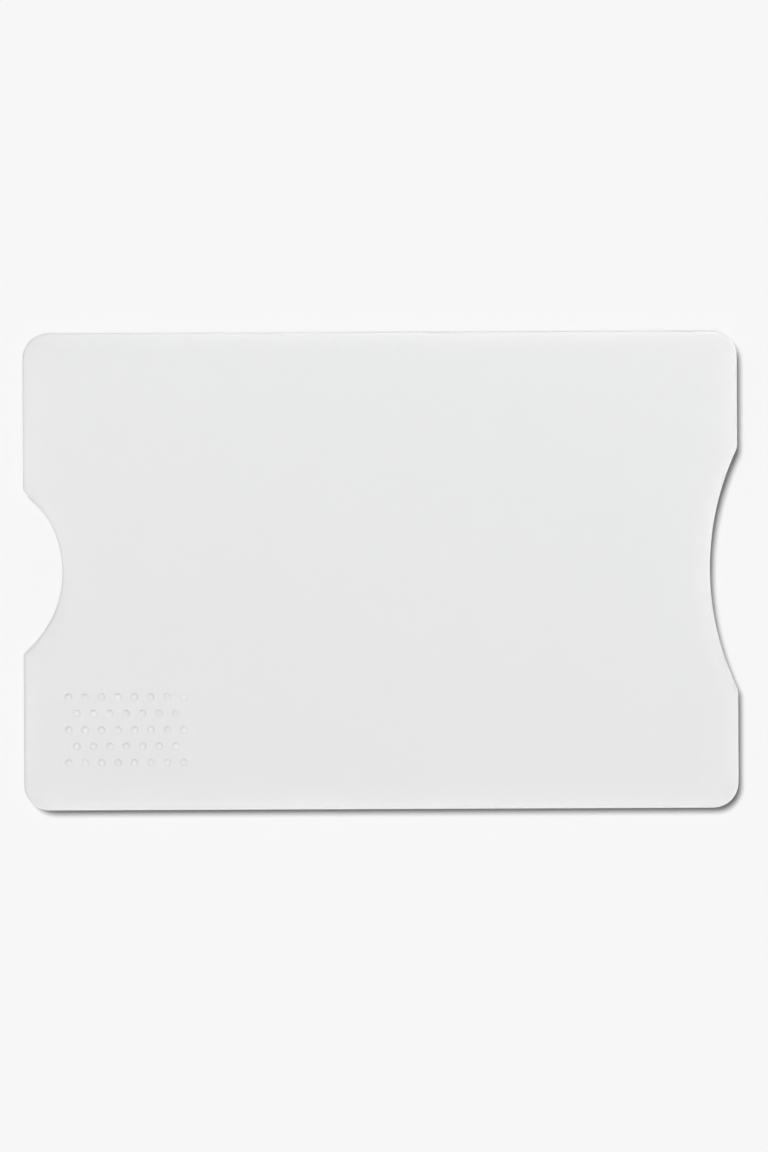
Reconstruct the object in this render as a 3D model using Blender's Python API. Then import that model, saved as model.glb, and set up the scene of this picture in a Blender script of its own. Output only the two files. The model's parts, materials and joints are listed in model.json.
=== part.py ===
"""A rigid plastic holder for one bank-size card: two moulded shells, welded together and lined with foil.

Metres. The holder lies on its back cover, with the origin under its middle. +X is the open end, where the
card comes out, +Z is the front face, and the thumb notch that the card is pushed from is at -X.
"""

import math

import bmesh
import bpy
from mathutils import Matrix

# The card that the holder is made for
CARD_LENGTH = 0.0856
CARD_WIDTH = 0.05398
CARD_SIDE_PLAY = 0.0004
CARD_END_PLAY = 0.0003

# The case round the card
WALL_THICKNESS = 0.0012
SLOT_HEIGHT = 0.0016
RAIL_WIDTH = 0.00311
END_STOP_WIDTH = 0.002
MOUTH_LAND = 0.0034
CASE_CORNER_RADIUS = 0.0033
SLOT_CORNER_RADIUS = 0.0025
EDGE_RADIUS = 0.0003
SEAM_CHAMFER = 0.00015
PARTING_GAP = 0.00005

# The two notches in the ends, each an arc as deep and as wide as this
THUMB_NOTCH_DEPTH = 0.005
THUMB_NOTCH_WIDTH = 0.02075
THUMB_NOTCH_CORNER = 0.0008
GRIP_NOTCH_DEPTH = 0.00355
GRIP_NOTCH_WIDTH = 0.031
GRIP_NOTCH_CORNER = 0.002

# The mouth of the slot, and the two bumps on the rails that hold the card in
MOUTH_FLARE = 0.0006
MOUTH_RAMP = 0.0004
BUMP_LENGTH = 0.01
BUMP_FROM_NOTCH = 0.004
BUMP_BITE = 0.00005

# Foil liners, each stuck in a shallow pocket
FOIL_THICKNESS = 0.0001
FOIL_SINK = 0.00003
GLUE_GAP = 0.00002
FOIL_CLEARANCE = 0.0003
POCKET_INSET = 0.001
POCKET_CORNER = 0.0008

# Weld ridges and locating pins on the back cover, and the room for them in the front cover
RIDGE_WIDTH = 0.0006
RIDGE_HEIGHT = 0.00035
RIDGE_CHAMFER = 0.00012
RIDGE_END_MARGIN = 0.0018
PIN_RADIUS = 0.0007
PIN_HEIGHT = 0.0008
PIN_FROM_END = 0.0055
PIN_CHAMFER = 0.00015
WELD_CLEARANCE = 0.0001
RIDGE_ROUNDING_SHARE = 0.9

# Raised grip pips in the lower corner of the front face, by the thumb notch
PIP_COLUMNS = 8
PIP_ROWS = 5
PIP_PITCH = 0.0021
PIP_BASE_RADIUS = 0.00048
PIP_TOP_RADIUS = 0.00033
PIP_HEIGHT = 0.00015
PIPS_FROM_LEFT = 0.00525
PIPS_FROM_BOTTOM = 0.0056

# How far a cutter runs past what it cuts, and a joined shape sinks into what carries it
OVERRUN = 0.0006
JOIN_SINK = 0.0003

# Finishes: linear colours, and how rough each surface is
WHITE_PLASTIC = (0.80, 0.80, 0.80)
WHITE_PLASTIC_ROUGHNESS = 0.35
BRIGHT_FOIL = (0.72, 0.73, 0.74)
BRIGHT_FOIL_ROUGHNESS = 0.3

# Fineness of the round shapes
CORNER_STEPS = 10
NOTCH_STEPS = 28
NOTCH_CORNER_STEPS = 5
BUMP_STEPS = 10
EDGE_STEPS = 4
PIN_SIDES = 20
PIP_SIDES = 12
WELD_DISTANCE = 0.0000005
FLAT_ANGLE = math.radians(0.05)
SHARP_ANGLE = math.radians(35)

# Sizes and places worked out from those above
SLOT_WIDTH = CARD_WIDTH + 2 * CARD_SIDE_PLAY
CASE_WIDTH = SLOT_WIDTH + 2 * RAIL_WIDTH
CASE_LENGTH = END_STOP_WIDTH + CARD_LENGTH + CARD_END_PLAY + MOUTH_LAND
CASE_THICKNESS = SLOT_HEIGHT + 2 * WALL_THICKNESS
RIGHT_END = CASE_LENGTH / 2
LEFT_END = -RIGHT_END
SLOT_CLOSED_END = LEFT_END + END_STOP_WIDTH
FLARE_START = RIGHT_END - GRIP_NOTCH_DEPTH
PARTING_HEIGHT = CASE_THICKNESS / 2
POCKET_DEPTH = GLUE_GAP + FOIL_THICKNESS + FOIL_SINK
RAIL_MIDDLE = (SLOT_WIDTH + RAIL_WIDTH) / 2


def arc_radius(depth, width):
    """Radius of an arc that is this deep over a chord this wide."""
    return (depth**2 + (width / 2) ** 2) / (2 * depth)


THUMB_NOTCH_RADIUS = arc_radius(THUMB_NOTCH_DEPTH, THUMB_NOTCH_WIDTH)
THUMB_NOTCH_CENTRE = LEFT_END + THUMB_NOTCH_DEPTH - THUMB_NOTCH_RADIUS
GRIP_NOTCH_RADIUS = arc_radius(GRIP_NOTCH_DEPTH, GRIP_NOTCH_WIDTH)
GRIP_NOTCH_CENTRE = RIGHT_END - GRIP_NOTCH_DEPTH + GRIP_NOTCH_RADIUS


def clear_scene():
    for thing in list(bpy.data.objects):
        bpy.data.objects.remove(thing)
    for group in list(bpy.data.collections):
        bpy.data.collections.remove(group)


def new_collection(name):
    group = bpy.data.collections.new(name)
    bpy.context.scene.collection.children.link(group)
    return group


def arc(centre_x, centre_y, radius, start, end, steps):
    """Points along an arc from one angle to another, both ends included."""
    angles = [start + (end - start) * n / steps for n in range(steps + 1)]
    return [(centre_x + radius * math.cos(a), centre_y + radius * math.sin(a)) for a in angles]


def notch_edge(edge_x, centre_x, radius, corner):
    """Points up the round notch that a circle cuts in a right-hand edge, with its mouth's corners rounded."""
    corner_x = edge_x - corner
    corner_y_squared = (radius + corner) ** 2 - (centre_x - corner_x) ** 2
    if corner_y_squared <= corner**2:
        return []
    corner_y = math.sqrt(corner_y_squared)
    turn = math.atan2(corner_y, centre_x - corner_x)
    return (
        arc(corner_x, -corner_y, corner, 0, turn, NOTCH_CORNER_STEPS)
        + arc(centre_x, 0, radius, math.pi + turn, math.pi - turn, NOTCH_STEPS)[1:-1]
        + arc(corner_x, corner_y, corner, -turn, 0, NOTCH_CORNER_STEPS)
    )


def rounded_outline(left_x, right_x, half_width, corner, left_notch=(), right_notch=()):
    """A rounded rectangle, anticlockwise. A notch is the (centre_x, radius, corner) of its circle."""
    right_edge = notch_edge(right_x, *right_notch) if right_notch else []
    left_edge = []
    if left_notch:
        centre_x, radius, notch_corner = left_notch
        mirrored = notch_edge(-left_x, -centre_x, radius, notch_corner)
        left_edge = [(-x, y) for x, y in reversed(mirrored)]
    quarter = math.pi / 2
    low_y = corner - half_width
    high_y = half_width - corner
    return (
        arc(right_x - corner, low_y, corner, -quarter, 0, CORNER_STEPS)
        + right_edge
        + arc(right_x - corner, high_y, corner, 0, quarter, CORNER_STEPS)
        + arc(left_x + corner, high_y, corner, quarter, 2 * quarter, CORNER_STEPS)
        + left_edge
        + arc(left_x + corner, low_y, corner, 2 * quarter, 3 * quarter, CORNER_STEPS)
    )


def prism(name, outline, low, high, group):
    """A closed solid of a flat outline between two heights, made from a filled 2D curve."""
    curve = bpy.data.curves.new(name, "CURVE")
    curve.dimensions = "2D"
    curve.fill_mode = "BOTH"
    curve.extrude = (high - low) / 2
    spline = curve.splines.new("POLY")
    spline.points.add(len(outline) - 1)
    for point, (x, y) in zip(spline.points, outline):
        point.co = (x, y, 0, 1)
    spline.use_cyclic_u = True
    guide = bpy.data.objects.new(name + "_outline", curve)
    guide.location.z = (low + high) / 2
    group.objects.link(guide)
    bpy.context.view_layer.update()
    graph = bpy.context.evaluated_depsgraph_get()
    mesh = bpy.data.meshes.new_from_object(guide.evaluated_get(graph))
    mesh.name = name
    shape = bmesh.new()
    shape.from_mesh(mesh)
    bmesh.ops.remove_doubles(shape, verts=shape.verts, dist=WELD_DISTANCE)
    bmesh.ops.dissolve_limit(shape, angle_limit=FLAT_ANGLE, verts=shape.verts, edges=shape.edges)
    shape.to_mesh(mesh)
    shape.free()
    solid = bpy.data.objects.new(name, mesh)
    solid.matrix_world = guide.matrix_world
    group.objects.link(solid)
    bpy.data.objects.remove(guide)
    return solid


def round_rim(solid, height, width, steps):
    """Rounds or, in one step, chamfers the edges of an upright solid that lie at one height."""
    level = height - solid.location.z
    shape = bmesh.new()
    shape.from_mesh(solid.data)
    rim = [e for e in shape.edges if all(abs(v.co.z - level) < WELD_DISTANCE for v in e.verts)]
    bmesh.ops.bevel(
        shape,
        geom=rim,
        offset=width,
        offset_type="OFFSET",
        segments=steps,
        profile=0.5,
        affect="EDGES",
        clamp_overlap=False,
    )
    shape.to_mesh(solid.data)
    shape.free()


def studs(name, places, low_radius, high_radius, low, high, sides, group):
    """Upright round pegs in one mesh, one at each place."""
    shape = bmesh.new()
    for x, y in places:
        bmesh.ops.create_cone(
            shape,
            cap_ends=True,
            segments=sides,
            radius1=low_radius,
            radius2=high_radius,
            depth=high - low,
            matrix=Matrix.Translation((x, y, (low + high) / 2)),
        )
    return finished_shape(name, shape, group)


def finished_shape(name, shape, group):
    mesh = bpy.data.meshes.new(name)
    shape.to_mesh(mesh)
    shape.free()
    solid = bpy.data.objects.new(name, mesh)
    group.objects.link(solid)
    return solid


def joined_prisms(name, outlines, low, high, group):
    """Prisms that stand apart, in one mesh."""
    shape = bmesh.new()
    for outline in outlines:
        one = prism(name, outline, low, high, group)
        one.data.transform(one.matrix_world)
        shape.from_mesh(one.data)
        bpy.data.objects.remove(one)
    return finished_shape(name, shape, group)


def combine(solid, tool, operation):
    """Cuts a tool out of a solid or joins it on, baked so that the shading can follow the new edges."""
    modifier = solid.modifiers.new(tool.name, "BOOLEAN")
    modifier.operation = operation
    modifier.object = tool
    tool.hide_render = True
    tool.display_type = "WIRE"
    bpy.context.view_layer.update()
    graph = bpy.context.evaluated_depsgraph_get()
    old_mesh = solid.data
    solid.data = bpy.data.meshes.new_from_object(solid.evaluated_get(graph))
    solid.modifiers.clear()
    bpy.data.meshes.remove(old_mesh)
    solid.data.name = solid.name


def cover_blank(name, face_height, parting_height, group):
    """Half of the case before it is hollowed, rounded at its face, with half of the seam's groove."""
    outline = rounded_outline(
        LEFT_END,
        RIGHT_END,
        CASE_WIDTH / 2,
        CASE_CORNER_RADIUS,
        (THUMB_NOTCH_CENTRE, THUMB_NOTCH_RADIUS, THUMB_NOTCH_CORNER),
        (GRIP_NOTCH_CENTRE, GRIP_NOTCH_RADIUS, GRIP_NOTCH_CORNER),
    )
    low, high = sorted((face_height, parting_height))
    cover = prism(name, outline, low, high, group)
    round_rim(cover, face_height, EDGE_RADIUS, EDGE_STEPS)
    round_rim(cover, parting_height, SEAM_CHAMFER, 1)
    return cover


def slot_side():
    """Points down one long side of the slot, from the open end, past its rail's bump, to the closed end."""
    half = SLOT_WIDTH / 2
    rise = CARD_SIDE_PLAY + BUMP_BITE
    bump_end = FLARE_START - BUMP_FROM_NOTCH
    side = [(RIGHT_END + OVERRUN, half + MOUTH_FLARE), (RIGHT_END, half + MOUTH_FLARE), (FLARE_START, half)]
    for n in range(BUMP_STEPS + 1):
        share = n / BUMP_STEPS
        height = rise * (1 - math.cos(2 * math.pi * share)) / 2
        side.append((bump_end - BUMP_LENGTH * share, half - height))
    corner_x = SLOT_CLOSED_END + SLOT_CORNER_RADIUS
    corner_y = half - SLOT_CORNER_RADIUS
    return side + arc(corner_x, corner_y, SLOT_CORNER_RADIUS, math.pi / 2, math.pi, CORNER_STEPS)


def card_slot(group):
    """The room for the card between the two covers, with floor and roof that open out towards the mouth."""
    upper = slot_side()
    lower = [(x, -y) for x, y in reversed(upper)]
    slot = prism("card_slot", upper + lower, WALL_THICKNESS, CASE_THICKNESS - WALL_THICKNESS, group)
    shape = bmesh.new()
    shape.from_mesh(slot.data)
    bmesh.ops.bisect_plane(
        shape,
        geom=shape.verts[:] + shape.edges[:] + shape.faces[:],
        dist=WELD_DISTANCE,
        plane_co=(FLARE_START, 0, 0),
        plane_no=(1, 0, 0),
    )
    for vertex in shape.verts:
        past_start = max(0, vertex.co.x - FLARE_START)
        vertex.co.z += math.copysign(past_start * MOUTH_RAMP / GRIP_NOTCH_DEPTH, vertex.co.z)
    shape.to_mesh(slot.data)
    shape.free()
    return slot


def pocket_outline(inset):
    """The foil's shape at this distance in from the slot's walls and from both notches."""
    return rounded_outline(
        SLOT_CLOSED_END + inset,
        FLARE_START - inset,
        SLOT_WIDTH / 2 - inset,
        SLOT_CORNER_RADIUS,
        (THUMB_NOTCH_CENTRE, THUMB_NOTCH_RADIUS + inset, POCKET_CORNER),
    )


def weld_shapes(spare, group):
    """The ridges and pins that join the covers or, with spare room round them, what is cut for them."""
    base = PARTING_HEIGHT - PARTING_GAP / 2 - JOIN_SINK
    half_ridge = RIDGE_WIDTH / 2 + spare
    pin_x = RIGHT_END - PIN_FROM_END
    rail_reach = pin_x - PIN_RADIUS - RIDGE_END_MARGIN + spare
    stop_middle = LEFT_END + END_STOP_WIDTH / 2
    stop_low = THUMB_NOTCH_WIDTH / 2 + THUMB_NOTCH_CORNER + RIDGE_END_MARGIN - spare
    stop_high = SLOT_WIDTH / 2 - SLOT_CORNER_RADIUS + spare
    corner = half_ridge * RIDGE_ROUNDING_SHARE
    outlines = []
    for side in (-1, 1):
        on_rail = rounded_outline(-rail_reach, rail_reach, half_ridge, corner)
        outlines.append([(x, y + side * RAIL_MIDDLE) for x, y in on_rail])
        half_length = (stop_high - stop_low) / 2
        on_stop = rounded_outline(-half_ridge, half_ridge, half_length, corner)
        middle_y = side * (stop_low + stop_high) / 2
        outlines.append([(x + stop_middle, y + middle_y) for x, y in on_stop])
    ridges = joined_prisms("ridges", outlines, base, PARTING_HEIGHT + RIDGE_HEIGHT + spare, group)
    places = [(x, y) for x in (-pin_x, pin_x) for y in (-RAIL_MIDDLE, RAIL_MIDDLE)]
    radius = PIN_RADIUS + spare
    pin_top = PARTING_HEIGHT + PIN_HEIGHT + spare
    pins = studs("pins", places, radius, radius, base, pin_top, PIN_SIDES, group)
    return ridges, pins


def grip_pips(group):
    """Staggered rows of low raised pips."""
    places = []
    for row in range(PIP_ROWS):
        shift = PIP_PITCH / 2 if row % 2 else 0
        for column in range(PIP_COLUMNS - row % 2):
            x = LEFT_END + PIPS_FROM_LEFT + PIP_BASE_RADIUS + shift + column * PIP_PITCH
            y = -CASE_WIDTH / 2 + PIPS_FROM_BOTTOM + PIP_BASE_RADIUS + row * PIP_PITCH
            places.append((x, y))
    sink_share = JOIN_SINK / PIP_HEIGHT
    sunk_radius = PIP_BASE_RADIUS + (PIP_BASE_RADIUS - PIP_TOP_RADIUS) * sink_share
    return studs(
        "pips",
        places,
        sunk_radius,
        PIP_TOP_RADIUS,
        CASE_THICKNESS - JOIN_SINK,
        CASE_THICKNESS + PIP_HEIGHT,
        PIP_SIDES,
        group,
    )


def foil_pockets(group):
    """The shallow pockets in both covers, as one cutter through the slot."""
    low = WALL_THICKNESS - POCKET_DEPTH
    return prism("foil_pockets", pocket_outline(POCKET_INSET), low, CASE_THICKNESS - low, group)


def finish(solid, kind, colour, roughness, metallic):
    material = bpy.data.materials.new(f"{solid.name}_{kind}")
    material.use_nodes = True
    surface = material.node_tree.nodes["Principled BSDF"]
    surface.inputs["Base Color"].default_value = (*colour, 1)
    surface.inputs["Roughness"].default_value = roughness
    surface.inputs["Metallic"].default_value = metallic
    material.diffuse_color = (*colour, 1)
    solid.data.materials.clear()
    solid.data.materials.append(material)
    solid.data.shade_smooth()
    solid.data.set_sharp_from_angle(angle=SHARP_ANGLE)


def finish_as_polystyrene(cover):
    """White, and satin as it comes out of the mould."""
    finish(cover, "white_polystyrene", WHITE_PLASTIC, WHITE_PLASTIC_ROUGHNESS, 0)


def finish_as_foil(liner):
    """Bright rolled aluminium."""
    finish(liner, "aluminium_foil", BRIGHT_FOIL, BRIGHT_FOIL_ROUGHNESS, 1)


def back_cover(hollows, group, tools):
    """The cover that the holder lies on, with the weld ridges and the locating pins."""
    cover = cover_blank("back_cover", 0, PARTING_HEIGHT - PARTING_GAP / 2, group)
    for hollow in hollows:
        combine(cover, hollow, "DIFFERENCE")
    ridges, pins = weld_shapes(0, tools)
    round_rim(ridges, PARTING_HEIGHT + RIDGE_HEIGHT, RIDGE_CHAMFER, 1)
    round_rim(pins, PARTING_HEIGHT + PIN_HEIGHT, PIN_CHAMFER, 1)
    for join in (ridges, pins):
        combine(cover, join, "UNION")
    finish_as_polystyrene(cover)


def front_cover(hollows, group, tools):
    """The cover on top, with the grip pips, and room for the ridges and the pins."""
    cover = cover_blank("front_cover", CASE_THICKNESS, PARTING_HEIGHT + PARTING_GAP / 2, group)
    for hollow in (*hollows, *weld_shapes(WELD_CLEARANCE, tools)):
        combine(cover, hollow, "DIFFERENCE")
    combine(cover, grip_pips(tools), "UNION")
    finish_as_polystyrene(cover)


def shield(name, low, group):
    """The foil in one cover's pocket."""
    outline = pocket_outline(POCKET_INSET + FOIL_CLEARANCE)
    finish_as_foil(prism(name, outline, low, low + FOIL_THICKNESS, group))


def main():
    clear_scene()
    holder = new_collection("card_holder")
    tools = new_collection("cutters_and_joined_shapes")
    hollows = (card_slot(tools), foil_pockets(tools))
    back_cover(hollows, holder, tools)
    front_cover(hollows, holder, tools)
    back_foil_low = WALL_THICKNESS - POCKET_DEPTH + GLUE_GAP
    shield("back_shield", back_foil_low, holder)
    shield("front_shield", CASE_THICKNESS - back_foil_low - FOIL_THICKNESS, holder)


main()
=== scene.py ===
"""A product picture of a rigid holder for one bank-size card: satin white shells and foil, on a pale ground.

Metres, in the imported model's frame. The holder lies on its back cover, with its open end at +X and its front
face up, and the camera looks straight down. Both shells are made here again with softer, finer surfaces.
"""

import json
import math

import bmesh
import bpy
from mathutils import Matrix, Vector

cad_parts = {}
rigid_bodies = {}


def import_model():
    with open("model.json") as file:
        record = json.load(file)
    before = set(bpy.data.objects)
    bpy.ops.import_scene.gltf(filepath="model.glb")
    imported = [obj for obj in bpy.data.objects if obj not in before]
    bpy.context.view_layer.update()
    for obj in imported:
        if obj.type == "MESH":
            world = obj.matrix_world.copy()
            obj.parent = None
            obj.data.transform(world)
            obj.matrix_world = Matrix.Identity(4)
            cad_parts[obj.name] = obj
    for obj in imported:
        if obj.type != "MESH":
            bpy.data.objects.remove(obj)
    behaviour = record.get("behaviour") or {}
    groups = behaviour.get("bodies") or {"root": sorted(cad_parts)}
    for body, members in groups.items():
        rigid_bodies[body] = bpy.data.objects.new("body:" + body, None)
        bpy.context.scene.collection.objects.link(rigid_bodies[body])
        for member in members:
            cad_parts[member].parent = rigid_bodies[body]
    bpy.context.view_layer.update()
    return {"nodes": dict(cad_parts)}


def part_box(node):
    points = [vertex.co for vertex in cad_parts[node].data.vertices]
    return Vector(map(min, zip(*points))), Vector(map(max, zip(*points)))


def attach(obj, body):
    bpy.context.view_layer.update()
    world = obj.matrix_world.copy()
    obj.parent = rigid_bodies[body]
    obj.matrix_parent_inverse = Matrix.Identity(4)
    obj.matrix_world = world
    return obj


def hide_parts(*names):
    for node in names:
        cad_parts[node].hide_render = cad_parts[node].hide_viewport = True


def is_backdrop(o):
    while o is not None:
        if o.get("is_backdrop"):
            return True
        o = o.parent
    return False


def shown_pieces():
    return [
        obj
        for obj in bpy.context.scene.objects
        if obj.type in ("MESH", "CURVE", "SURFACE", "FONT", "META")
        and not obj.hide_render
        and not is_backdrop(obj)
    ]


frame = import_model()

# The case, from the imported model, whose highest point is the top of the pips
front_low, front_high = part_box("front_cover")
LEFT_END = front_low.x
RIGHT_END = front_high.x
HALF_WIDTH = front_high.y
PIP_HEIGHT = 0.00015
FRONT_FACE = front_high.z - PIP_HEIGHT
PARTING = FRONT_FACE / 2
FRONT_PARTING = front_low.z
BACK_PARTING = 2 * PARTING - FRONT_PARTING

# The shells' edges: a chamfer at the seam, a small rounding, and a border that rises softly to the flat
# face. The border is a wide crown and a narrow shoulder in one. Each has its slope at the outside, and the
# higher its power, the nearer to the outside it stays. A narrow ring of flat face ends it.
EDGE_RADIUS = 0.0003
SEAM_CHAMFER = 0.00015
BORDER_WIDTH = 0.0021
CROWN_TILT = math.radians(8)
CROWN_POWER = 1.7
SHOULDER_TILT = math.radians(14)
SHOULDER_POWER = 6
FLAT_RING_WIDTH = 0.0003

# The shells' outline: its corners, and each notch as an arc of some depth and width with corners at its
# mouth. Where the outline is drawn in, those corners shrink to no less than the least one.
CASE_CORNER_RADIUS = 0.0033
LEAST_CORNER = 0.00005
THUMB_NOTCH_DEPTH = 0.005
THUMB_NOTCH_WIDTH = 0.02075
THUMB_NOTCH_CORNER = 0.0008
GRIP_NOTCH_DEPTH = 0.00355
GRIP_NOTCH_WIDTH = 0.031
GRIP_NOTCH_CORNER = 0.002

# The slot for the card, its mouth, the bumps on its rails and the pockets for the foil
WALL_THICKNESS = 0.0012
SLOT_HALF_WIDTH = 0.02739
SLOT_CORNER_RADIUS = 0.0025
END_STOP_WIDTH = 0.002
MOUTH_FLARE = 0.0006
MOUTH_RAMP = 0.0004
BUMP_LENGTH = 0.01
BUMP_FROM_NOTCH = 0.004
BUMP_RISE = 0.00045
POCKET_DEPTH = 0.00015
POCKET_INSET = 0.001
POCKET_CORNER = 0.0008

# Weld ridges and locating pins, and the room for them
RIDGE_WIDTH = 0.0006
RIDGE_HEIGHT = 0.00035
RIDGE_CHAMFER = 0.00012
RIDGE_END_MARGIN = 0.0018
RIDGE_ROUNDING_SHARE = 0.9
PIN_RADIUS = 0.0007
PIN_HEIGHT = 0.0008
PIN_FROM_END = 0.0055
PIN_CHAMFER = 0.00015
WELD_CLEARANCE = 0.0001

# Raised grip pips: a staggered field in the lower corner by the thumb notch
PIP_COLUMNS = 8
PIP_ROWS = 5
PIP_PITCH = 0.0021
PIP_BASE_RADIUS = 0.00048
PIP_TOP_RADIUS = 0.00033
PIP_SHOULDER_RADIUS = 0.0004
PIPS_FROM_LEFT = 0.00525
PIPS_FROM_BOTTOM = 0.0056

# How far a cutter runs past what it cuts, and a joined shape sinks into what carries it
OVERRUN = 0.0006
JOIN_SINK = 0.0003

# Fineness of the round shapes
CORNER_STEPS = 20
NOTCH_STEPS = 44
NOTCH_CORNER_STEPS = 9
BUMP_STEPS = 24
EDGE_STEPS = 14
BORDER_STEPS = 12
PIN_SIDES = 32
PIP_SIDES = 32
SHOULDER_STEPS = 8

# How near to a cutting plane a point counts as on it, and the bend from which an edge is drawn sharp
ON_PLANE_DISTANCE = 0.0000005
SHARP_ANGLE = math.radians(16)

# The picture, in pixels of its frame: its size, the holder's middle and the scale at the front face
PICTURE_WIDTH = 768
PICTURE_HEIGHT = 1152
MIDDLE_X_PX = 380.5
MIDDLE_Y_PX = 570.4
PX_PER_METRE = 7829
ROLL = math.radians(0.25)
CAMERA_DISTANCE = 0.82

# Each lamp has its tilt off the vertical, towards +X and towards +Y in degrees, and its share of the plain
# level: 1 in all shows a level surface in its colour as it is written. The room gives a share too.
ROOM_SHARE = 0.08

# The ground and its own distant lamps, with how wide each looks in degrees. The upright one throws no shadow
# that shows.
GROUND_SIDE = 6
GROUND_LAMPS = {
    "ground_key": {"tilt": (-10, 11.5), "width": 15, "share": 0.80},
    "ground_fill": {"tilt": (0, 0), "width": 1, "share": 0.12},
}

# The holder's own soft boxes, which shine in its surface: the distance and the two sides of each. Bounced
# light finds all but the key, which evens out the grain on the pips. If it found the key too, the face and
# the ground beside it would be a little too bright.
SOFT_BOXES = {
    "key": {"tilt": (9, 38), "distance": 0.45, "size": (0.34, 0.15), "share": 0.295, "found": False},
    "near_box": {"tilt": (0, -48), "distance": 0.9, "size": (0.22, 0.22), "share": 0.055},
    "right_box": {"tilt": (42, 0), "distance": 0.9, "size": (0.22, 0.22), "share": 0.05},
    "left_box": {"tilt": (-40, 0), "distance": 0.9, "size": (0.16, 0.16), "share": 0.03},
    "overhead_left": {"tilt": (-20, 0), "distance": 0.9, "size": (0.28, 0.28), "share": 0.078},
    "overhead_right": {"tilt": (18, 0), "distance": 0.9, "size": (0.28, 0.28), "share": 0.065},
    "overhead_far": {"tilt": (0, 18), "distance": 0.9, "size": (0.28, 0.28), "share": 0.077},
    "overhead_near": {"tilt": (0, -18), "distance": 0.9, "size": (0.28, 0.28), "share": 0.082},
}

# Low boxes, given in the same way, that light the holder's walls and don't shine in its surface. The right
# one grazes the face, so that it lights only what slopes towards it.
WALL_BOXES = {
    "near_strip": {"tilt": (0, -77), "distance": 2.5, "size": (0.9, 0.9), "share": 0.11},
    "far_strip": {"tilt": (0, 72), "distance": 2.5, "size": (0.9, 0.9), "share": 0.02},
    "right_strip": {"tilt": (88, 0), "distance": 2.5, "size": (0.9, 0.15), "share": 0.013},
    "left_strip": {"tilt": (-72, 0), "distance": 2.5, "size": (0.9, 0.9), "share": 0.035},
}

# The finishes: how big their patterns are drawn, how deep and how strong their relief is, and their values
PITTING_SIZE = 0.00025
PITTING_STRENGTH = 0.15
FLOW_SIZE = 0.0167
FLOW_RANGE = (0.3, 0.7)
SATIN_ROUGHNESS = (0.3, 0.36)
POLYSTYRENE_IOR = 1.59
FOIL_LINE_WIDTH = 0.0004
FOIL_LINE_LENGTH = 0.025
FOIL_LINE_STRENGTH = 0.12
FOIL_ROUGHNESS = (0.4, 0.5)
RELIEF_DEPTH = 0.00001
SHELL_WHITE = "E8E8E8"
SHELL_SHADE = "E6E6E6"
FOIL_GREY = "E4E5E6"
STUDIO_WHITE = "F7F7F7"

# Worked out from those above
SLOT_CLOSED_END = LEFT_END + END_STOP_WIDTH
FLARE_START = RIGHT_END - GRIP_NOTCH_DEPTH
RAIL_MIDDLE = (HALF_WIDTH + SLOT_HALF_WIDTH) / 2


def arc_radius(depth, width):
    """Radius of an arc that is this deep over a chord this wide."""
    return (depth**2 + (width / 2) ** 2) / (2 * depth)


THUMB_NOTCH_RADIUS = arc_radius(THUMB_NOTCH_DEPTH, THUMB_NOTCH_WIDTH)
THUMB_NOTCH_CENTRE = LEFT_END + THUMB_NOTCH_DEPTH - THUMB_NOTCH_RADIUS
GRIP_NOTCH_RADIUS = arc_radius(GRIP_NOTCH_DEPTH, GRIP_NOTCH_WIDTH)
GRIP_NOTCH_CENTRE = RIGHT_END - GRIP_NOTCH_DEPTH + GRIP_NOTCH_RADIUS


# Outlines

def arc(centre_x, centre_y, radius, start, end, steps):
    """Points along an arc from one angle to another, both ends included."""
    angles = [start + (end - start) * n / steps for n in range(steps + 1)]
    return [(centre_x + radius * math.cos(a), centre_y + radius * math.sin(a)) for a in angles]


def notch_edge(edge_x, centre_x, radius, corner):
    """Points up the notch that a circle cuts in a right-hand edge, with the mouth's corners rounded."""
    corner_x = edge_x - corner
    corner_y = math.sqrt((radius + corner) ** 2 - (centre_x - corner_x) ** 2)
    turn = math.atan2(corner_y, centre_x - corner_x)
    return (
        arc(corner_x, -corner_y, corner, 0, turn, NOTCH_CORNER_STEPS)
        + arc(centre_x, 0, radius, math.pi + turn, math.pi - turn, NOTCH_STEPS)[1:-1]
        + arc(corner_x, corner_y, corner, -turn, 0, NOTCH_CORNER_STEPS)
    )


def rounded_outline(left_x, right_x, half_width, corner, left_notch=(), right_notch=()):
    """A rounded rectangle, anticlockwise. A notch is the (centre_x, radius, corner) of its circle."""
    right_edge = notch_edge(right_x, *right_notch) if right_notch else []
    left_edge = []
    if left_notch:
        centre_x, radius, notch_corner = left_notch
        mirrored = notch_edge(-left_x, -centre_x, radius, notch_corner)
        left_edge = [(-x, y) for x, y in reversed(mirrored)]
    quarter = math.pi / 2
    low_y = corner - half_width
    high_y = half_width - corner
    return (
        arc(right_x - corner, low_y, corner, -quarter, 0, CORNER_STEPS)
        + right_edge
        + arc(right_x - corner, high_y, corner, 0, quarter, CORNER_STEPS)
        + arc(left_x + corner, high_y, corner, quarter, 2 * quarter, CORNER_STEPS)
        + left_edge
        + arc(left_x + corner, low_y, corner, 2 * quarter, 3 * quarter, CORNER_STEPS)
    )


def case_outline(inset):
    """The case's outline, drawn in from the edge by this much."""
    return rounded_outline(
        LEFT_END + inset,
        RIGHT_END - inset,
        HALF_WIDTH - inset,
        CASE_CORNER_RADIUS - inset,
        (THUMB_NOTCH_CENTRE, THUMB_NOTCH_RADIUS + inset, max(THUMB_NOTCH_CORNER - inset, LEAST_CORNER)),
        (GRIP_NOTCH_CENTRE, GRIP_NOTCH_RADIUS + inset, max(GRIP_NOTCH_CORNER - inset, LEAST_CORNER)),
    )


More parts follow.
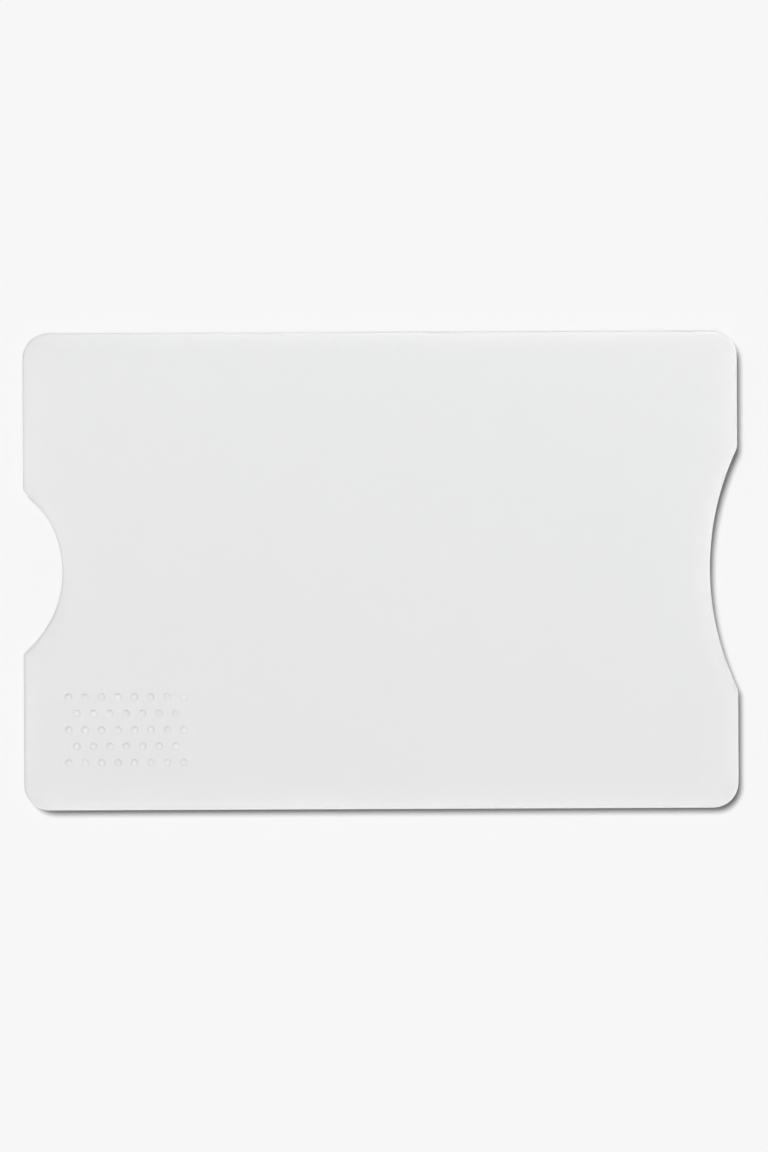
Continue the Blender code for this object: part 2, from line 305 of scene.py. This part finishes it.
def pocket_outline(inset):
    """The foil pocket's shape at this distance in from the slot's walls and from both notches."""
    return rounded_outline(
        SLOT_CLOSED_END + inset,
        FLARE_START - inset,
        SLOT_HALF_WIDTH - inset,
        SLOT_CORNER_RADIUS,
        (THUMB_NOTCH_CENTRE, THUMB_NOTCH_RADIUS + inset, POCKET_CORNER),
    )


# Solids

def new_group(name):
    """A new collection in the scene."""
    group = bpy.data.collections.new(name)
    bpy.context.scene.collection.children.link(group)
    return group


def close_round(shape, loops):
    """Faces from each loop of corners to the next, and one over each end."""
    for low, high in zip(loops, loops[1:]):
        for n in range(len(low)):
            m = (n + 1) % len(low)
            shape.faces.new((low[n], low[m], high[m], high[n]))
    shape.faces.new(reversed(loops[0]))
    shape.faces.new(loops[-1])


def finished_shape(name, shape, group):
    """Turns a shape's faces outwards and makes it an object in the group."""
    bmesh.ops.recalc_face_normals(shape, faces=shape.faces)
    mesh = bpy.data.meshes.new(name)
    shape.to_mesh(mesh)
    shape.free()
    solid = bpy.data.objects.new(name, mesh)
    group.objects.link(solid)
    return solid


def lofted(name, rings, group):
    """A closed solid through flat rings of points, which have the same number each."""
    shape = bmesh.new()
    close_round(shape, [[shape.verts.new(point) for point in ring] for ring in rings])
    return finished_shape(name, shape, group)


def prism(name, outline, low, high, group):
    """An upright solid of one outline between two heights."""
    return lofted(name, [[(x, y, z) for x, y in outline] for z in (low, high)], group)


def turned_studs(name, places, profile, sides, group):
    """Upright round studs in one mesh, one at each place, each turned from (radius, height) points."""
    shape = bmesh.new()
    for x, y in places:
        loops = []
        for radius, height in profile:
            points = arc(x, y, radius, 0, 2 * math.pi, sides)[:-1]
            loops.append([shape.verts.new((*point, height)) for point in points])
        close_round(shape, loops)
    return finished_shape(name, shape, group)


def combine(solid, tool, operation):
    """Cuts a tool out of a solid or joins it on."""
    modifier = solid.modifiers.new(tool.name, "BOOLEAN")
    modifier.operation = operation
    modifier.object = tool
    bpy.context.view_layer.update()
    graph = bpy.context.evaluated_depsgraph_get()
    old_mesh = solid.data
    solid.data = bpy.data.meshes.new_from_object(solid.evaluated_get(graph))
    solid.modifiers.clear()
    bpy.data.meshes.remove(old_mesh)
    solid.data.name = solid.name


def shell_profile(depth):
    """(inset, height) points up a shell's wall from its parting, round its edge and over its border."""
    edge_tilt = math.atan(math.tan(CROWN_TILT) + math.tan(SHOULDER_TILT))
    edge_end = EDGE_RADIUS * (1 - math.sin(edge_tilt))
    border = BORDER_WIDTH - edge_end
    crown = math.tan(CROWN_TILT) * border / CROWN_POWER
    shoulder = math.tan(SHOULDER_TILT) * border / SHOULDER_POWER
    centre = depth - crown - shoulder - EDGE_RADIUS * math.cos(edge_tilt)
    points = [(SEAM_CHAMFER, 0), (0, SEAM_CHAMFER)]
    for n in range(EDGE_STEPS + 1):
        tilt = math.pi / 2 + (edge_tilt - math.pi / 2) * n / EDGE_STEPS
        points.append((EDGE_RADIUS * (1 - math.sin(tilt)), centre + EDGE_RADIUS * math.cos(tilt)))
    for n in range(1, BORDER_STEPS + 1):
        left = 1 - (n / BORDER_STEPS) ** 2
        drop = crown * left**CROWN_POWER + shoulder * left**SHOULDER_POWER
        points.append((BORDER_WIDTH - border * left, depth - drop))
    return points + [(BORDER_WIDTH + FLAT_RING_WIDTH, depth)]


def shell_blank(name, parting, face, group):
    """One shell before it is hollowed, from the height of its parting to that of its face."""
    side = math.copysign(1, face - parting)
    rings = []
    for inset, height in shell_profile(abs(face - parting)):
        rings.append([(x, y, parting + side * height) for x, y in case_outline(inset)])
    return lofted(name, rings, group)


def slot_side():
    """Points down one long side of the slot, from its open end, past its rail's bump, to its closed end."""
    bump_end = FLARE_START - BUMP_FROM_NOTCH
    flared = SLOT_HALF_WIDTH + MOUTH_FLARE
    side = [(RIGHT_END + OVERRUN, flared), (RIGHT_END, flared), (FLARE_START, SLOT_HALF_WIDTH)]
    for n in range(BUMP_STEPS + 1):
        share = n / BUMP_STEPS
        rise = BUMP_RISE * (1 - math.cos(2 * math.pi * share)) / 2
        side.append((bump_end - BUMP_LENGTH * share, SLOT_HALF_WIDTH - rise))
    corner_x = SLOT_CLOSED_END + SLOT_CORNER_RADIUS
    corner_y = SLOT_HALF_WIDTH - SLOT_CORNER_RADIUS
    return side + arc(corner_x, corner_y, SLOT_CORNER_RADIUS, math.pi / 2, math.pi, CORNER_STEPS)


def card_slot(group):
    """The room for the card between the two shells, with floor and roof that open out towards the mouth."""
    upper = slot_side()
    lower = [(x, -y) for x, y in reversed(upper)]
    slot = prism("card_slot", upper + lower, WALL_THICKNESS, FRONT_FACE - WALL_THICKNESS, group)
    shape = bmesh.new()
    shape.from_mesh(slot.data)
    bmesh.ops.bisect_plane(
        shape,
        geom=shape.verts[:] + shape.edges[:] + shape.faces[:],
        dist=ON_PLANE_DISTANCE,
        plane_co=(FLARE_START, 0, 0),
        plane_no=(1, 0, 0),
    )
    for vertex in shape.verts:
        past_start = max(0, vertex.co.x - FLARE_START)
        away = math.copysign(1, vertex.co.z - PARTING)
        vertex.co.z += away * past_start * MOUTH_RAMP / GRIP_NOTCH_DEPTH
    shape.to_mesh(slot.data)
    shape.free()
    return slot


def foil_pockets(group):
    """The shallow pockets in both shells, as one cutter through the slot."""
    low = WALL_THICKNESS - POCKET_DEPTH
    return prism("foil_pockets", pocket_outline(POCKET_INSET), low, FRONT_FACE - low, group)


def chamfered_top(low, high, chamfer):
    """(inset, height) points up a wall with a chamfer at its top."""
    return [(0, low), (0, high - chamfer), (chamfer, high)]


def weld_ridges(spare, chamfer, group):
    """The ridges along the rails and the end stop or, with spare room round them, what is cut for them."""
    half_ridge = RIDGE_WIDTH / 2 + spare
    pin_x = RIGHT_END - PIN_FROM_END
    rail_reach = pin_x - PIN_RADIUS - RIDGE_END_MARGIN + spare
    stop_middle = LEFT_END + END_STOP_WIDTH / 2
    stop_low = THUMB_NOTCH_WIDTH / 2 + THUMB_NOTCH_CORNER + RIDGE_END_MARGIN - spare
    stop_high = SLOT_HALF_WIDTH - SLOT_CORNER_RADIUS + spare
    profile = chamfered_top(BACK_PARTING - JOIN_SINK, PARTING + RIDGE_HEIGHT + spare, chamfer)
    ridges = []
    for side in (-1, 1):
        stop_y = side * (stop_low + stop_high) / 2
        for name, middle_x, middle_y, half_x, half_y in (
            ("rail_ridge", 0, side * RAIL_MIDDLE, rail_reach, half_ridge),
            ("stop_ridge", stop_middle, stop_y, half_ridge, (stop_high - stop_low) / 2),
        ):
            rings = []
            for inset, height in profile:
                corner = (half_ridge - inset) * RIDGE_ROUNDING_SHARE
                flat = rounded_outline(inset - half_x, half_x - inset, half_y - inset, corner)
                rings.append([(x + middle_x, y + middle_y, height) for x, y in flat])
            ridges.append(lofted(name, rings, group))
    return ridges


def locating_pins(spare, chamfer, group):
    """The four pins or, with spare room round them, their sockets."""
    pin_x = RIGHT_END - PIN_FROM_END
    places = [(x, y) for x in (-pin_x, pin_x) for y in (-RAIL_MIDDLE, RAIL_MIDDLE)]
    profile = chamfered_top(BACK_PARTING - JOIN_SINK, PARTING + PIN_HEIGHT + spare, chamfer)
    turned = [(PIN_RADIUS + spare - inset, height) for inset, height in profile]
    return turned_studs("pins", places, turned, PIN_SIDES, group)


def grip_pips(group):
    """Staggered rows of low raised pips with rounded shoulders."""
    places = []
    for row in range(PIP_ROWS):
        shift = PIP_PITCH / 2 if row % 2 else 0
        for column in range(PIP_COLUMNS - row % 2):
            x = LEFT_END + PIPS_FROM_LEFT + PIP_BASE_RADIUS + shift + column * PIP_PITCH
            y = -HALF_WIDTH + PIPS_FROM_BOTTOM + PIP_BASE_RADIUS + row * PIP_PITCH
            places.append((x, y))
    side_slope = math.atan2(PIP_HEIGHT, PIP_BASE_RADIUS - PIP_TOP_RADIUS)
    sunk_radius = PIP_BASE_RADIUS + JOIN_SINK / math.tan(side_slope)
    profile = [(sunk_radius, FRONT_FACE - JOIN_SINK)]
    # The shoulder is an arc from the sloping side to the flat top
    centre_height = FRONT_FACE + PIP_HEIGHT - PIP_SHOULDER_RADIUS
    centre_radius = PIP_TOP_RADIUS - PIP_SHOULDER_RADIUS * math.tan(side_slope / 2)
    for n in range(SHOULDER_STEPS + 1):
        tilt = side_slope * (1 - n / SHOULDER_STEPS)
        profile.append(
            (
                centre_radius + PIP_SHOULDER_RADIUS * math.sin(tilt),
                centre_height + PIP_SHOULDER_RADIUS * math.cos(tilt),
            )
        )
    return turned_studs("pips", places, profile, PIP_SIDES, group)


def smooth_but_for_creases(solid):
    """Smooth shading, but for the edges that bend by more than the sharp angle."""
    solid.data.shade_smooth()
    solid.data.set_sharp_from_angle(angle=SHARP_ANGLE)


def back_shell(hollows, group, tools):
    """The shell that the holder lies on, with the weld ridges and the locating pins."""
    shell = shell_blank("back_shell", BACK_PARTING, 0, group)
    for hollow in hollows:
        combine(shell, hollow, "DIFFERENCE")
    for join in (*weld_ridges(0, RIDGE_CHAMFER, tools), locating_pins(0, PIN_CHAMFER, tools)):
        combine(shell, join, "UNION")
    smooth_but_for_creases(shell)
    return shell


def front_shell(hollows, group, tools):
    """The shell on top, with the grip pips and the room for the ridges and the pins."""
    shell = shell_blank("front_shell", FRONT_PARTING, FRONT_FACE, group)
    room = (*weld_ridges(WELD_CLEARANCE, 0, tools), locating_pins(WELD_CLEARANCE, 0, tools))
    for hollow in (*hollows, *room):
        combine(shell, hollow, "DIFFERENCE")
    combine(shell, grip_pips(tools), "UNION")
    smooth_but_for_creases(shell)
    return shell


# Finishes

def linear(hex_colour):
    """The linear RGBA of an sRGB hex colour."""
    parts = [int(hex_colour[n : n + 2], 16) / 255 for n in (0, 2, 4)]
    return (*(c / 12.92 if c <= 0.04045 else ((c + 0.055) / 1.055) ** 2.4 for c in parts), 1)


def add(tree, kind, inputs=(), **settings):
    """Adds a node with its settings. Each input gets a value, or a link from the socket given."""
    node = tree.nodes.new(kind)
    for name, value in settings.items():
        setattr(node, name, value)
    for name, value in dict(inputs).items():
        if isinstance(value, bpy.types.NodeSocket):
            tree.links.new(value, node.inputs[name])
        else:
            node.inputs[name].default_value = value
    return node


def new_material(name):
    """A material without nodes, and its tree."""
    material = bpy.data.materials.new(name)
    material.use_nodes = True
    material.node_tree.nodes.clear()
    return material, material.node_tree


def moulded_polystyrene(name):
    """High-impact polystyrene, injection moulded in a spark-eroded mould.

    The mould's fine pitting gives a satin surface that blurs every reflection. It is 0.05 mm across on the
    real thing and drawn at 0.25 mm, because finer doesn't show. Tone and gloss vary faintly where the
    plastic flowed into the mould.
    """
    material, tree = new_material(name)
    place = add(tree, "ShaderNodeTexCoord").outputs["Object"]
    pitting = add(tree, "ShaderNodeTexNoise", {"Vector": place, "Scale": 1 / PITTING_SIZE, "Detail": 2})
    flow = add(tree, "ShaderNodeTexNoise", {"Vector": place, "Scale": 1 / FLOW_SIZE, "Detail": 3})
    # This node's two colours are its inputs 6 and 7, and their mixture is its output 2
    tone = add(
        tree,
        "ShaderNodeMix",
        {"Factor": flow.outputs["Fac"], 6: linear(SHELL_WHITE), 7: linear(SHELL_SHADE)},
        data_type="RGBA",
    )
    gloss = add(
        tree,
        "ShaderNodeMapRange",
        {
            "Value": flow.outputs["Fac"],
            "From Min": FLOW_RANGE[0],
            "From Max": FLOW_RANGE[1],
            "To Min": SATIN_ROUGHNESS[0],
            "To Max": SATIN_ROUGHNESS[1],
        },
    )
    bump = add(
        tree,
        "ShaderNodeBump",
        {"Height": pitting.outputs["Fac"], "Strength": PITTING_STRENGTH, "Distance": RELIEF_DEPTH},
    )
    surface = add(
        tree,
        "ShaderNodeBsdfPrincipled",
        {
            "Base Color": tone.outputs[2],
            "Roughness": gloss.outputs["Result"],
            "Normal": bump.outputs["Normal"],
            "IOR": POLYSTYRENE_IOR,
        },
    )
    add(tree, "ShaderNodeOutputMaterial", {"Surface": surface.outputs["BSDF"]})
    return material


def rolled_foil(name):
    """Aluminium foil, rolled thin, with its matt side out.

    It has a soft grey shine, with fine lines along the holder where it was rolled. They are 0.03 mm wide on
    the real thing and drawn at 0.4 mm, because finer doesn't show.
    """
    material, tree = new_material(name)
    place = add(tree, "ShaderNodeTexCoord").outputs["Object"]
    across = 1 / FOIL_LINE_WIDTH
    stretch = add(
        tree, "ShaderNodeMapping", {"Vector": place, "Scale": (1 / FOIL_LINE_LENGTH, across, across)}
    )
    lines = add(tree, "ShaderNodeTexNoise", {"Vector": stretch.outputs["Vector"], "Scale": 1, "Detail": 3})
    gloss = add(
        tree,
        "ShaderNodeMapRange",
        {"Value": lines.outputs["Fac"], "To Min": FOIL_ROUGHNESS[0], "To Max": FOIL_ROUGHNESS[1]},
    )
    bump = add(
        tree,
        "ShaderNodeBump",
        {"Height": lines.outputs["Fac"], "Strength": FOIL_LINE_STRENGTH, "Distance": RELIEF_DEPTH},
    )
    surface = add(
        tree,
        "ShaderNodeBsdfPrincipled",
        {
            "Base Color": linear(FOIL_GREY),
            "Metallic": 1,
            "Roughness": gloss.outputs["Result"],
            "Normal": bump.outputs["Normal"],
        },
    )
    add(tree, "ShaderNodeOutputMaterial", {"Surface": surface.outputs["BSDF"]})
    return material


def matt_paper(name):
    """Uncoated white studio paper: it has no shine, so it keeps one tone."""
    material, tree = new_material(name)
    surface = add(tree, "ShaderNodeBsdfDiffuse", {"Color": linear(STUDIO_WHITE)})
    add(tree, "ShaderNodeOutputMaterial", {"Surface": surface.outputs["BSDF"]})
    return material


def put_on(piece, material):
    """Gives a piece one material in place of those that it has."""
    piece.data.materials.clear()
    piece.data.materials.append(material)


# The studio

def studio_ground():
    """A square of paper under the holder."""
    shape = bmesh.new()
    bmesh.ops.create_grid(shape, x_segments=1, y_segments=1, size=GROUND_SIDE / 2)
    ground = finished_shape("ground", shape, bpy.context.scene.collection)
    put_on(ground, matt_paper("studio_paper"))
    ground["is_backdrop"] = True
    return ground


def lit_group(name, pieces):
    """The pieces that some lamps light, as a collection outside the scene."""
    group = bpy.data.collections.new(name)
    for piece in pieces:
        group.objects.link(piece)
    return group


def direction(tilt):
    """The way from the holder to a lamp with that tilt."""
    tilt_x, tilt_y = (math.tan(math.radians(angle)) for angle in tilt)
    return Vector((tilt_x, tilt_y, 1)).normalized()


def hang(lamp, towards, distance, lit):
    """Puts a lamp in that direction from the holder, facing it, to light one group of pieces."""
    holder = bpy.data.objects.new(lamp.name, lamp)
    holder.location = towards * distance
    holder.rotation_mode = "QUATERNION"
    holder.rotation_quaternion = towards.to_track_quat("Z", "Y")
    holder.visible_camera = False
    holder.light_linking.receiver_collection = lit
    bpy.context.scene.collection.objects.link(holder)
    return holder


def distant_lamp(name, lit, tilt, width, share):
    """A far lamp whose light bounces once, which keeps the shadow from going black."""
    towards = direction(tilt)
    lamp = bpy.data.lights.new(name, "SUN")
    lamp.angle = math.radians(width)
    lamp.energy = share * math.pi / towards.z
    lamp.cycles.max_bounces = 1
    hang(lamp, towards, 1, lit)


def soft_box(name, lit, shines, tilt, distance, size, share, found=True):
    """A near lamp whose light doesn't bounce, so that the holder's own light stays off the ground."""
    towards = direction(tilt)
    lamp = bpy.data.lights.new(name, "AREA")
    lamp.shape = "RECTANGLE"
    lamp.size, lamp.size_y = size
    lamp.energy = share * (math.pi * distance) ** 2 / towards.z
    lamp.cycles.max_bounces = 0
    lamp.cycles.use_multiple_importance_sampling = shines and found
    hang(lamp, towards, distance, lit).visible_glossy = shines


def studio_room():
    """The white room round it all: it gives a little light, and is seen and mirrored like the ground."""
    world = bpy.data.worlds.new("studio_room")
    world.use_nodes = True
    tree = world.node_tree
    tree.nodes.clear()
    ray = add(tree, "ShaderNodeLightPath")
    light = add(tree, "ShaderNodeBackground", {"Color": (1, 1, 1, 1), "Strength": ROOM_SHARE})
    seen = add(tree, "ShaderNodeBackground", {"Color": linear(STUDIO_WHITE), "Strength": 1})
    is_seen = ray.outputs["Is Camera Ray"]
    for kind in ("Is Glossy Ray", "Is Transmission Ray"):
        either = add(tree, "ShaderNodeMath", {0: is_seen, 1: ray.outputs[kind]}, operation="MAXIMUM")
        is_seen = either.outputs["Value"]
    mix = add(
        tree,
        "ShaderNodeMixShader",
        {0: is_seen, 1: light.outputs["Background"], 2: seen.outputs["Background"]},
    )
    add(tree, "ShaderNodeOutputWorld", {"Surface": mix.outputs["Shader"]})
    bpy.context.scene.world = world


def picture_camera():
    """Straight above the holder, turned and shifted so that it lies in the picture as it should."""
    data = bpy.data.cameras.new("picture_camera")
    data.type = "PERSP"
    data.sensor_fit = "AUTO"
    data.lens = data.sensor_width * CAMERA_DISTANCE / (PICTURE_HEIGHT / PX_PER_METRE)
    camera = bpy.data.objects.new("picture_camera", data)
    off_x = (PICTURE_WIDTH / 2 - MIDDLE_X_PX) / PX_PER_METRE
    off_y = (MIDDLE_Y_PX - PICTURE_HEIGHT / 2) / PX_PER_METRE
    camera.location = Matrix.Rotation(-ROLL, 3, "Z") @ Vector((off_x, off_y, FRONT_FACE + CAMERA_DISTANCE))
    camera.rotation_euler = (0, 0, -ROLL)
    bpy.context.scene.collection.objects.link(camera)
    bpy.context.scene.camera = camera


# The picture

picture_camera()
shells = new_group("card_holder")
tools = new_group("cutters_and_joined_shapes")
hollows = (card_slot(tools), foil_pockets(tools))
for node, make_shell, material_name in (
    ("back_cover", back_shell, "back_white_moulded_polystyrene"),
    ("front_cover", front_shell, "front_white_moulded_polystyrene"),
):
    shell = make_shell(hollows, shells, tools)
    put_on(shell, moulded_polystyrene(material_name))
    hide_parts(node)
    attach(shell, "root")
for tool in list(tools.objects):
    bpy.data.objects.remove(tool)
for node in ("front_shield", "back_shield"):
    put_on(frame["nodes"][node], rolled_foil(node + "_rolled_aluminium_foil"))

ground_only = lit_group("ground_only", [studio_ground()])
for name, lamp in GROUND_LAMPS.items():
    distant_lamp(name, ground_only, **lamp)
holder_only = lit_group("holder_only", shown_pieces())
for shines, boxes in ((True, SOFT_BOXES), (False, WALL_BOXES)):
    for name, box in boxes.items():
        soft_box(name, holder_only, shines, **box)
studio_room()
bpy.context.scene.view_settings.view_transform = "Standard"
